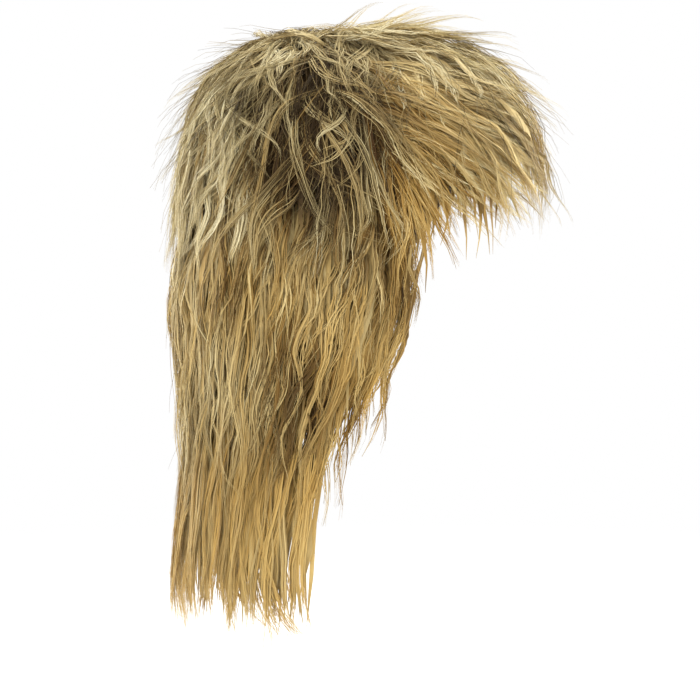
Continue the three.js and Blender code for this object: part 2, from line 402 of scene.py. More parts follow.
class StrandMaker:
    """Lays the strands of one style along a fall of hair.

    The spans, but that of the widths, are shares of a strand's length over which something sets in.
    The path scale holds the millimetres of a degree and of a whole fall.
    """

    golden_step = 0.61803399
    path_scale = (1.7, 430.0)
    patch_turns = ((1.0, 0.3, 0.55), (-0.45, 1.05, 0.35), (0.6, -0.7, 0.9), (-0.8, -0.5, 0.65))
    patch_rate = 2.0
    patch_phase = 1.7
    patch_peak = 2.2
    root_wander = 0.4
    length_spread = 0.03
    twist_spread = 1.2
    bend_turns = 0.7
    bend_reach = 60.0
    loosening = (0.03, 0.4)
    wave_heave = 0.45
    heave_rate = 0.83
    heave_phase = 1.3
    opening = (0.0, 0.25)
    closing = (0.4, 1.0)
    root_spread = 0.5
    flatness = 0.5
    frizz_heave = 0.6
    frizz_rate = 1.13
    lifting = (0.4, 1.0)
    lift_power = 1.5
    surfacing = (0.0, 0.3)
    widening = (0.0, 0.15)
    width_spread = (0.75, 1.25)
    paling = (0.5, 1.0)
    warming = (0.2, 1.0)
    strand_warmth = 0.05

    def __init__(self, form: WornForm, fall: Fall, seed: int) -> None:
        """Keeps what all strands of a piece share.

        Args:
            form: how the hair lies round the head.
            fall: the outer surface of the piece.
            seed: makes the scatter of this piece its own.
        """
        self.form = form
        self.fall = fall
        self.rng = np.random.default_rng(seed)

    def patches(self, points: np.ndarray, size: float) -> np.ndarray:
        """Makes soft patches in space.

        Args:
            points: where to look, in millimetres.
            size: the size of a patch.

        Returns:
            Values from about -1 to 1.
        """
        turned = points @ np.array(self.patch_turns).T
        phases = np.arange(len(self.patch_turns)) * self.patch_phase
        return np.sin(turned / size * self.patch_rate + phases).sum(axis=-1) / self.patch_peak

    def lay(self, style: LockStyle) -> list[Strands]:
        """Lays all strands of a style.

        Args:
            style: the kind of lock.

        Returns:
            The strands of each member.
        """
        locks, rng, shade = style.locks, self.rng, style.shade
        column = (locks, 1)
        first, last = style.azimuths
        place = (np.arange(locks) * self.golden_step + rng.uniform(0.0, 1.0)) % 1.0
        tips = (first + (last - first) * place)[:, None]
        side = np.abs((tips + 180.0) % 360.0 - 180.0)
        front = (side.max() - side) / max(side.max() - side.min(), 1.0)
        root = rng.uniform(*style.root, column)
        length = rng.uniform(*style.length, column) - style.slant * front
        stray = rng.normal(0.0, style.wander, column)
        root_stray = rng.normal(0.0, style.wander * self.root_wander, column)
        longest = style.longest + rng.normal(0.0, self.length_spread, column)
        lock = {
            "stray": stray,
            "tip_azimuth": tips + stray,
            "root_azimuth": style.fan.roots(tips) + root_stray,
            "root": root,
            "length": np.minimum(length, longest - root),
            "depth": rng.uniform(*style.depth, column),
            "bow": rng.uniform(*style.bow, column),
            "lift": rng.uniform(*style.lift, column),
            "wave": rng.uniform(*style.wave, column),
            "wave_length": rng.uniform(*style.wave_length, column),
            "phase": rng.uniform(0.0, math.tau, column),
            "bend": rng.normal(0.0, style.bend, column),
            "aside": rng.normal(0.0, style.aside, column),
            "twist": rng.normal(0.0, self.twist_spread, column),
            "tone": rng.normal(0.0, shade.lock_spread, column) + shade.front_pale * (front - 0.5),
            "warmth": rng.normal(0.0, shade.warmth_spread, column) + shade.front_warmth * (front - 0.5),
        }
        return [self.lay_member(style, member, lock) for member in style.members]

    def run(self, style: LockStyle, lock: LockValues, q: np.ndarray) -> tuple[np.ndarray, np.ndarray]:
        """Finds the azimuth and the share of the fall along strands.

        Args:
            style: the kind of lock.
            lock: values of every strand's lock, in columns.
            q: places along the strands, from 0 to 1.

        Returns:
            The azimuths and the shares.
        """
        if style.path:
            line = smooth_curve(style.path)
            shares = run_shares(line * np.array(self.path_scale))
            return np.interp(q, shares, line[:, 0]) + lock["stray"], np.interp(q, shares, line[:, 1])
        turn = lock["tip_azimuth"] - lock["root_azimuth"]
        return lock["root_azimuth"] + turn * q**style.sweep, lock["root"] + lock["length"] * q**style.drop

    def lay_member(self, style: LockStyle, member: Member, per_lock: LockValues) -> Strands:
        """Lays one kind of strand in all locks of a style.

        Args:
            style: the kind of lock.
            member: the kind of strand.
            per_lock: values of every lock, in columns.

        Returns:
            The strands.
        """
        rng = self.rng
        lock = {key: np.repeat(value, member.count, axis=0) for key, value in per_lock.items()}
        count = style.locks * member.count
        column = (count, 1)
        t = np.linspace(0.0, 1.0, style.steps + 1)[None, :]
        q = t * (1.0 - np.abs(rng.normal(0.0, style.uneven, column)))

        azimuth, share = self.run(style, lock, q)
        out, height, thickness = self.fall.at(share)
        swerve = lock["bend"] * ease(0.0, self.bend_reach, self.form.half_width + out)
        azimuth = azimuth + swerve * np.sin(math.tau * self.bend_turns * q + lock["phase"])
        line = self.form.place(azimuth, out, height)
        heading = np.radians(lock["tip_azimuth"])
        sideways = np.stack([np.cos(heading), np.sin(heading), np.zeros_like(heading)], axis=-1)
        line = line + sideways * (lock["aside"] * self.form.near_whorl(out))[..., None]
        along = unit(np.gradient(line, axis=1))
        across = unit(np.cross(along, self.form.outward(line)))
        normal = np.cross(across, along)

        arc = np.linalg.norm(np.diff(line, axis=1), axis=-1).sum(axis=1, keepdims=True) * t
        loose = ease(*self.loosening, q)
        angle = math.tau * arc / lock["wave_length"] + lock["phase"]
        sway = lock["wave"] * loose * np.sin(angle)
        heave = self.wave_heave * lock["wave"] * loose * np.cos(angle * self.heave_rate + self.heave_phase)

        opened = self.root_spread + (1.0 - self.root_spread) * ease(*self.opening, q)
        closed = 1.0 - (1.0 - style.gather) * ease(*self.closing, q)
        full = style.spread * opened * closed
        seat = rng.uniform(0.0, math.tau, column) + lock["twist"] * q
        reach = member.reach * np.sqrt(rng.uniform(0.0, 1.0, column))
        sway = sway + full * reach * np.cos(seat)
        heave = heave + self.flatness * full * reach * np.sin(seat) + member.rise

        crimp = math.tau * arc / rng.uniform(*style.crimp, column) + rng.uniform(0.0, math.tau, column)
        sway = sway + style.frizz * np.sin(crimp) * loose
        heave = heave + self.frizz_heave * style.frizz * np.cos(crimp * self.frizz_rate) * loose
        lift = lock["lift"] * ease(*self.lifting, q) ** self.lift_power
        sunk = style.root_depth * (1.0 - ease(*self.surfacing, q))
        bowed = 4.0 * lock["bow"] * q * (1.0 - q)
        depth = np.minimum(lock["depth"] + sunk + bowed, thickness)
        line = line + across * sway[..., None] + normal * (heave + lift - depth)[..., None]

        roll = rng.normal(0.0, member.roll, (count, 1, 1))
        facing = across * np.cos(roll) + normal * np.sin(roll)
        width = member.width * rng.uniform(*self.width_spread, column)
        width = width * (member.root_width + (1.0 - member.root_width) * ease(*self.widening, t))
        width = width * (1.0 - (1.0 - member.tip_width) * ease(member.taper, 1.0, t))

        shade = style.shade
        tone = shade.tone + member.tone + lock["tone"] + rng.normal(0.0, shade.strand_spread, column)
        tone = tone + shade.patch * self.patches(line, shade.patch_size)
        tone = tone + shade.tip_pale * ease(*self.paling, q)
        # Painted shade: the deeper a strand lies under the outer surface, the darker its tone.
        tone = tone - shade.root_dark * (1.0 - ease(0.0, shade.root_share, q)) - shade.painted_depth_shade * depth
        tone = tone + (shade.zone_contrast * lock["tone"] - shade.zone_dark) * shade.zone.share(line)
        warmth = shade.warmth + lock["warmth"] + rng.normal(0.0, self.strand_warmth, column)
        warmth = warmth + shade.tip_warm * ease(*self.warming, q)
        warmth = warmth + shade.warm_patch * self.patches(line, shade.warm_size)
        return Strands(line, facing, width, member.thick, member.streaks, tone, warmth)


@dataclass(frozen=True)
class Palette:
    """The colours of the hair, from dark to pale, in an ash and a golden row."""

    ash: tuple[Rgb, ...] = ((32, 24, 15), (98, 85, 56), (158, 143, 101), (199, 184, 140), (229, 220, 184))
    golden: tuple[Rgb, ...] = ((54, 33, 9), (127, 92, 37), (183, 146, 76), (207, 180, 116), (225, 210, 159))


class Nodes:
    """Adds and links the nodes of one node tree."""

    def __init__(self, tree: bpy.types.NodeTree) -> None:
        """Keeps the tree and clears it."""
        self.tree = tree
        self.tree.nodes.clear()

    def add(self, kind: str, values: dict[str, object] | None = None, **settings: object) -> bpy.types.Node:
        """Adds a node.

        Args:
            kind: Blender's name of the node type.
            values: what its sockets hold, by name.
            settings: properties of the node by name.

        Returns:
            The node.
        """
        node = self.tree.nodes.new(kind)
        for key, value in settings.items():
            setattr(node, key, value)
        for key, value in (values or {}).items():
            node.inputs[key].default_value = value
        return node

    def wire(self, *rows: tuple[bpy.types.Node, str, bpy.types.Node, str | int]) -> None:
        """Links sockets, by rows of a node, its output, the next node and its input."""
        for source, given, target, taken in rows:
            self.tree.links.new(source.outputs[given], target.inputs[taken])

    def map_range(self, taken: Span, given: Span, **settings: object) -> bpy.types.Node:
        """Adds a node that turns the taken range of values into the given one."""
        names = ("From Min", "From Max", "To Min", "To Max")
        return self.add("ShaderNodeMapRange", dict(zip(names, (*taken, *given))), **settings)

    def ramp(self, colours: tuple[Rgb, ...]) -> bpy.types.Node:
        """Adds a colour ramp with even stops.

        Args:
            colours: the colours of the stops, from 0 to 1.

        Returns:
            The ramp.
        """
        node = self.add("ShaderNodeValToRGB")
        elements = node.color_ramp.elements
        while len(elements) < len(colours):
            elements.new(0.5)
        for i, colour in enumerate(colours):
            elements[i].position = i / (len(colours) - 1)
            elements[i].color = linear(colour)
        return node


def new_material(name: str, values: dict[str, object]) -> tuple[bpy.types.Material, Nodes, bpy.types.Node]:
    """Starts a material.

    Args:
        name: the material's name.
        values: what the shader's sockets hold, by name.

    Returns:
        The material, its nodes and its shader, which is linked to the output.
    """
    material = bpy.data.materials.new(name)
    material.use_nodes = True
    nodes = Nodes(material.node_tree)
    output = nodes.add("ShaderNodeOutputMaterial")
    shader = nodes.add("ShaderNodeBsdfPrincipled", values)
    nodes.wire((shader, "BSDF", output, "Surface"))
    return material, nodes, shader


@dataclass(frozen=True)
class StreakGroup:
    """A shared effect: fine streaks along a strand, read from its place on the palette."""

    name: str = "hair_streaks"
    across: float = 260.0
    along: float = 5.0
    detail: float = 3.0

    def build(self) -> bpy.types.NodeTree:
        """Builds the group at the first call.

        Returns:
            The group.
        """
        made = bpy.data.node_groups.get(self.name)
        if made is not None:
            return made
        group = bpy.data.node_groups.new(self.name, "ShaderNodeTree")
        group.interface.new_socket("Palette", in_out="INPUT", socket_type="NodeSocketVector")
        group.interface.new_socket("Streak", in_out="OUTPUT", socket_type="NodeSocketFloat")
        nodes = Nodes(group)
        entry = nodes.add("NodeGroupInput")
        leave = nodes.add("NodeGroupOutput")
        stretch = nodes.add("ShaderNodeMapping", {"Scale": (self.across, self.along, 1.0)})
        noise = nodes.add("ShaderNodeTexNoise", {"Scale": 1.0, "Detail": self.detail})
        nodes.wire(
            (entry, "Palette", stretch, "Vector"),
            (stretch, "Vector", noise, "Vector"),
            (noise, "Fac", leave, "Streak"),
        )
        return group


@dataclass(frozen=True)
class HairFinish:
    """Synthetic hair: ash to golden blonde by palette, with fine streaks and a soft satin gloss.

    The sheen grows with the tone, and the streaks change the colour and the gloss with their noise.
    """

    name: str = "hair_strands"
    palette: Palette = field(default_factory=Palette)
    roughness: Span = (0.42, 0.66)
    specular: float = 0.11
    sheen: Span = (0.04, 0.6)
    sheen_tone: Span = (0.15, 0.6)
    sheen_tint: Rgb = (222, 204, 158)
    streak: Span = (0.88, 1.08)
    streak_noise: Span = (0.36, 0.62)
    bump: float = 0.15
    bump_height: float = 0.5 * MM

    def build(self) -> bpy.types.Material:
        """Builds the material at the first call.

        Returns:
            The material.
        """
        made = bpy.data.materials.get(self.name)
        if made is not None:
            return made
        values = {"Specular IOR Level": self.specular, "Sheen Tint": linear(self.sheen_tint)}
        material, nodes, shader = new_material(self.name, values)
        place = nodes.add("ShaderNodeUVMap", uv_map=BAKE_MAP)
        split = nodes.add("ShaderNodeSeparateXYZ")
        ash = nodes.ramp(self.palette.ash)
        golden = nodes.ramp(self.palette.golden)
        blend = nodes.add("ShaderNodeMix", data_type="RGBA")
        streaks = nodes.add("ShaderNodeGroup", node_tree=StreakGroup().build())
        depth = nodes.map_range(self.streak_noise, self.streak)
        fuzz = nodes.map_range(self.sheen_tone, self.sheen)
        gloss = nodes.map_range((0.0, 1.0), self.roughness)
        tint = nodes.add("ShaderNodeVectorMath", operation="SCALE")
        bump = nodes.add("ShaderNodeBump", {"Strength": self.bump, "Distance": self.bump_height})
        nodes.wire(
            (place, "UV", split, "Vector"),
            (split, "Y", ash, "Fac"),
            (split, "Y", golden, "Fac"),
            (split, "X", blend, "Factor"),
            (ash, "Color", blend, "A"),
            (golden, "Color", blend, "B"),
            (place, "UV", streaks, "Palette"),
            (streaks, "Streak", depth, "Value"),
            (streaks, "Streak", gloss, "Value"),
            (blend, "Result", tint, "Vector"),
            (depth, "Result", tint, "Scale"),
            (tint, "Vector", shader, "Base Color"),
            (gloss, "Result", shader, "Roughness"),
            (split, "Y", fuzz, "Value"),
            (fuzz, "Result", shader, "Sheen Weight"),
            (streaks, "Streak", bump, "Height"),
            (bump, "Normal", shader, "Normal"),
        )
        return material


@dataclass(frozen=True)
class CapFinish:
    """The cap's cloth: a dark open weave with rows of sewn wefts."""

    name: str = "cap_weave"
    thread: Rgb = (62, 50, 40)
    gap: Rgb = (24, 19, 15)
    weft: Rgb = (96, 80, 58)
    weave_scale: float = 520.0
    row_scale: float = 34.0
    row_bend: float = 0.6
    row_detail: float = 3.0
    row_crest: Span = (0.72, 0.86)
    roughness: float = 0.85
    bump: float = 0.5

    def build(self) -> bpy.types.Material:
        """Builds the material at the first call.

        Returns:
            The material.
        """
        made = bpy.data.materials.get(self.name)
        if made is not None:
            return made
        material, nodes, shader = new_material(self.name, {"Roughness": self.roughness})
        place = nodes.add("ShaderNodeTexCoord")
        weave = nodes.add("ShaderNodeTexVoronoi", {"Scale": self.weave_scale}, feature="F1")
        rows = nodes.add(
            "ShaderNodeTexWave",
            {"Scale": self.row_scale, "Distortion": self.row_bend, "Detail Scale": self.row_detail},
            wave_type="BANDS", bands_direction="Z", wave_profile="SIN",
        )
        cloth = nodes.ramp((self.thread, self.gap))
        crest = nodes.map_range(self.row_crest, (0.0, 1.0))
        blend = nodes.add("ShaderNodeMix", {"B": linear(self.weft)}, data_type="RGBA")
        rise = nodes.add("ShaderNodeMath", operation="ADD")
        bump = nodes.add("ShaderNodeBump", {"Strength": self.bump, "Distance": MM})
        nodes.wire(
            (place, "Object", weave, "Vector"),
            (place, "Object", rows, "Vector"),
            (weave, "Distance", cloth, "Fac"),
            (rows, "Fac", crest, "Value"),
            (crest, "Result", blend, "Factor"),
            (cloth, "Color", blend, "A"),
            (blend, "Result", shader, "Base Color"),
            (crest, "Result", rise, 0),
            (weave, "Distance", rise, 1),
            (rise, "Value", bump, "Height"),
            (bump, "Normal", shader, "Normal"),
        )
        return material


@dataclass(frozen=True)
class FloorFinish:
    """A pale matt floor that fades out at its rim."""

    name: str = "pale_floor"
    grey: float = 0.93
    roughness: float = 0.9
    fade_start: float = 0.3
    fade_end: float = 0.97

    def build(self, radius: float) -> bpy.types.Material:
        """Builds the material.

        Args:
            radius: the floor's radius in metres.

        Returns:
            The material.
        """
        colour = (self.grey, self.grey, self.grey, 1.0)
        values = {"Base Color": colour, "Roughness": self.roughness}
        material, nodes, shader = new_material(self.name, values)
        place = nodes.add("ShaderNodeTexCoord")
        reach = nodes.add("ShaderNodeVectorMath", operation="LENGTH")
        fading = (self.fade_start, radius * self.fade_end)
        fade = nodes.map_range(fading, (1.0, 0.0), interpolation_type="SMOOTHSTEP")
        nodes.wire(
            (place, "Object", reach, 0),
            (reach, "Value", fade, "Value"),
            (fade, "Result", shader, "Alpha"),
        )
        return material


@dataclass
class HairPiece:
    """One sewn piece of hair, made of styles of lock along its fall."""

    name: str
    node: str
    fall: Fall
    styles: tuple[LockStyle, ...]
    seed: int
    form: WornForm = field(default_factory=WornForm)
    finish: HairFinish = field(default_factory=HairFinish)

    def build(self) -> bpy.types.Object:
        """Makes the piece as one mesh of joined strands, and dresses it.

        Returns:
            The piece.
        """
        maker = StrandMaker(self.form, self.fall, self.seed)
        laid = [strands for style in self.styles for strands in maker.lay(style)]
        mesh = self.join(laid)
        mesh.materials.append(self.finish.build())
        piece = bpy.data.objects.new(self.name, mesh)
        bpy.context.scene.collection.objects.link(piece)
        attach(piece, BODY)
        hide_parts(self.node)
        return piece

    def join(self, laid: list[Strands]) -> bpy.types.Mesh:
        """Joins strands into one mesh with its palette map.

        Args:
            laid: the strands of each style.

        Returns:
            The mesh, in metres.
        """
        points, places, loops, starts = [], [], [], []
        first, used = 0, 0
        for strands in laid:
            corners = strands.corners().reshape(-1, 3)
            quads, ends = strands.faces()
            points.append(corners)
            places.append(strands.palette().reshape(-1, 2))
            loops.append(np.concatenate([quads.ravel(), ends.ravel()]) + first)
            starts.append(used + 4 * np.arange(len(quads)))
            starts.append(used + 4 * len(quads) + 3 * np.arange(len(ends)))
            first += len(corners)
            used += quads.size + ends.size
        corner = np.concatenate(points) * MM
        loop = np.concatenate(loops)
        start = np.concatenate(starts)
        mesh = bpy.data.meshes.new(self.name)
        mesh.vertices.add(len(corner))
        mesh.vertices.foreach_set("co", corner.ravel())
        mesh.loops.add(len(loop))
        mesh.loops.foreach_set("vertex_index", loop)
        mesh.polygons.add(len(start))
        mesh.polygons.foreach_set("loop_start", start)
        mesh.update(calc_edges=True)
        pairs = np.empty(2 * len(mesh.edges), dtype=np.int32)
        mesh.edges.foreach_get("vertices", pairs)
        ahead, behind = pairs.reshape(-1, 2).T
        rim = (np.abs(ahead - behind) == Strands.sides) & (ahead % Strands.sides != Strands.ridge)
        mesh.attributes.new("sharp_edge", "BOOLEAN", "EDGE").data.foreach_set("value", rim)
        palette = mesh.uv_layers.new(name=BAKE_MAP)
        palette.data.foreach_set("uv", np.concatenate(places)[loop].ravel())
        return mesh


@dataclass
class WigCap:
    """The cap that the hair is sewn to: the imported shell, merged and rounded."""

    name: str = "cap"
    node: str = "wig_cap"
    rounding: int = 1
    merge: float = 0.00002
    finish: CapFinish = field(default_factory=CapFinish)

    def build(self) -> bpy.types.Object:
        """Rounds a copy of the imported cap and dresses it.

        Returns:
            The cap.
        """
        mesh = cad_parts[self.node].data.copy()
        cap = bpy.data.objects.new(self.name, mesh)
        bpy.context.scene.collection.objects.link(cap)
        bpy.ops.object.select_all(action="DESELECT")
        bpy.context.view_layer.objects.active = cap
        cap.select_set(True)
        bpy.ops.object.mode_set(mode="EDIT")
        bpy.ops.mesh.select_all(action="SELECT")
        bpy.ops.mesh.remove_doubles(threshold=self.merge)
        bpy.ops.mesh.tris_convert_to_quads()
        bpy.ops.object.mode_set(mode="OBJECT")
        smooth = cap.modifiers.new("round", "SUBSURF")
        smooth.levels = smooth.render_levels = self.rounding
        bpy.ops.object.modifier_apply(modifier=smooth.name)
        bpy.ops.object.shade_smooth()
        cap.data.materials.clear()
        cap.data.materials.append(self.finish.build())
        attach(cap, BODY)
        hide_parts(self.node)
        return cap


RIBBON = Member(count=2, width=3.6, thick=0.1, reach=0.75, rise=-0.9, tone=-0.04, streaks=0.007, roll=0.25)
SLIM = Member(count=3, width=1.5, thick=0.2, reach=0.8, rise=-0.6, tone=-0.03, streaks=0.004, roll=0.3)
FINE = Member(count=6, width=0.8, thick=0.32, rise=0.7, tone=0.03)
THIN = Member(count=1, width=0.55, thick=0.6, tip_width=0.35)
BROAD = Member(count=1, width=7.0, thick=0.12, streaks=0.012, roll=0.2, tip_width=0.05, root_width=0.3)
FILLING = Shade(
    tone=0.4, warmth=0.45, lock_spread=0.05, strand_spread=0.02, root_dark=0.08, painted_depth_shade=0.002,
)
ALL_ROUND: Span = (78.0, 282.0)
BACK: Span = (98.0, 262.0)
BROW: Span = (-66.0, 66.0)
NAPE: Span = (104.0, 256.0)
HEAD: Span = (72.0, 288.0)
MIDDLE = DarkZone((100.0, 82.0, -245.0), (70.0, 36.0, 85.0))
SIDE_FAN = Fan(centre=117.0, share=0.7)
BROW_FAN = Fan(centre=110.0, share=0.8, near=80.0, far=118.0)
CROWN_PATHS: tuple[Path, ...] = (
    ((115, 0.52), (122, 0.545), (128, 0.575), (131, 0.62), (133, 0.675), (134, 0.735), (136, 0.805),
     (138, 0.885)),
    ((135, 0.48), (133, 0.545), (132, 0.6), (133, 0.665), (135, 0.74)),
    ((119, 0.58), (118, 0.635), (116, 0.71), (110, 0.805), (104, 0.86)),
    ((117, 0.52), (105, 0.545), (95, 0.61), (86, 0.71), (78, 0.78)),
    ((113, 0.52), (100, 0.56), (92, 0.645), (80, 0.76), (76, 0.82)),
    ((125, 0.375), (119, 0.475), (112, 0.505), (103, 0.51), (95, 0.53)),
    ((127, 0.72), (134, 0.77), (139, 0.815), (139, 0.895), (138, 0.95)),
    ((101, 0.7), (100, 0.785), (100, 0.83), (105, 0.87)),
    ((120, 0.765), (123, 0.795), (129, 0.83), (132, 0.87), (133, 0.93)),
)
LOOP_PATHS: tuple[Path, ...] = (
    ((105, 0.6), (102, 0.63), (102, 0.66), (111, 0.69)),
    ((98, 0.615), (96, 0.645), (102, 0.7), (110, 0.725)),
    ((96, 0.63), (97, 0.68), (101, 0.73), (108, 0.77)),
)
BROW_PATHS: tuple[Path, ...] = (
    ((66, 0.76), (62, 0.84), (59, 0.915), (55, 0.975), (56, 1.04)),
    ((60, 0.76), (55, 0.855), (51, 0.915), (45, 0.965), (45, 1.05)),
    ((52, 0.68), (43, 0.775), (37, 0.86), (27, 0.925), (20, 0.985)),
)
SPIKE_PATHS: tuple[Path, ...] = (
    ((6, 0.28), (6, 0.36), (6, 0.44), (6, 0.52), (6, 0.57)),
    ((5, 0.56), (5, 0.65), (5, 0.73), (5, 0.79)),
    ((6, 0.78), (6, 0.86), (6, 0.93), (6, 0.99)),
    ((-14, 0.22), (-12, 0.32), (-10, 0.42), (-8, 0.5)),
    ((24, 0.3), (20, 0.4), (16, 0.5), (13, 0.6)),
)
FLICK_PATH: Path = ((172, 0.62), (174, 0.76), (176, 0.9), (178, 1.01))
TAIL_PATH: Path = ((128, 0.55), (127, 0.69), (123, 0.835), (119, 0.925), (113, 0.97), (106, 1.0))


def both_sides(style: LockStyle) -> tuple[LockStyle, LockStyle]:
    """Mirrors a style.

    Args:
        style: a style of the wearer's left side.

    Returns:
        The style, and the same for the right side.
    """
    first, last = style.azimuths
    path = tuple((-azimuth, share) for azimuth, share in style.path)
    return style, replace(style, azimuths=(-last, -first), path=path)


def along_paths(style: LockStyle, paths: tuple[Path, ...]) -> list[LockStyle]:
    """Gives a style along each of some paths, on both sides of the head."""
    return [placed for path in paths for placed in both_sides(replace(style, path=path))]


def under_hair(
    locks: int, azimuths: Span, root: Span, length: Span, depth: Span, shade: Shade, **changes: object,
) -> LockStyle:
    """Gives the broad locks that fill a piece below its strands.

    Args:
        locks: how many.
        azimuths: the first and last azimuth.
        root: where they start.
        length: how long they are.
        depth: how far they lie under the outer surface.
        shade: their colours.
        changes: other fields of the style that differ from the common one.

    Returns:
        The style.
    """
    common = LockStyle(
        locks=locks, steps=7, members=(BROAD,), azimuths=azimuths, root=root, length=length, shade=shade,
        spread=1.0, depth=depth, root_depth=4.0, wander=3.0, wave=(1.0, 4.0), frizz=0.0, lift=(0.0, 1.0),
    )
    return replace(common, **changes)


def strays(
    count: int, azimuths: Span, root: Span, length: Span, lift: Span, wander: float,
) -> LockStyle:
    """Gives the single thin hairs that stand off a piece.

    Args:
        count: how many.
        azimuths: the first and last azimuth.
        root: where they leave the piece.
        length: how long they are.
        lift: how far their tips stand off.
        wander: degrees that they stray to a side.

    Returns:
        The style.
    """
    shade = Shade(tone=0.34, warmth=0.2, root_dark=0.1, patch=0.0)
    return LockStyle(
        locks=count, steps=8, members=(THIN,), azimuths=azimuths, root=root, length=length, shade=shade,
        spread=1.0, depth=(0.0, 3.0), root_depth=3.0, wander=wander, wave=(2.0, 7.0),
        wave_length=(50.0, 120.0), lift=lift,
    )


def wisps(count: int, azimuths: Span, root: Span, length: Span, shade: Shade) -> LockStyle:
    """Gives the short crimped wisps that lie on the long hair.

    Args:
        count: how many.
        azimuths: the first and last azimuth.
        root: where they leave the piece.
        length: how long they are.
        shade: their colours.

    Returns:
        The style.
    """
    return LockStyle(
        locks=count, steps=13, members=(replace(FINE, count=4, width=0.85, rise=0.0),), azimuths=azimuths,
        root=root, length=length, shade=shade, spread=3.2, depth=(-1.0, 5.0), root_depth=6.0, bend=2.5,
        wave=(1.5, 4.5), wave_length=(50.0, 85.0), frizz=1.3, crimp=(28.0, 44.0),
    )


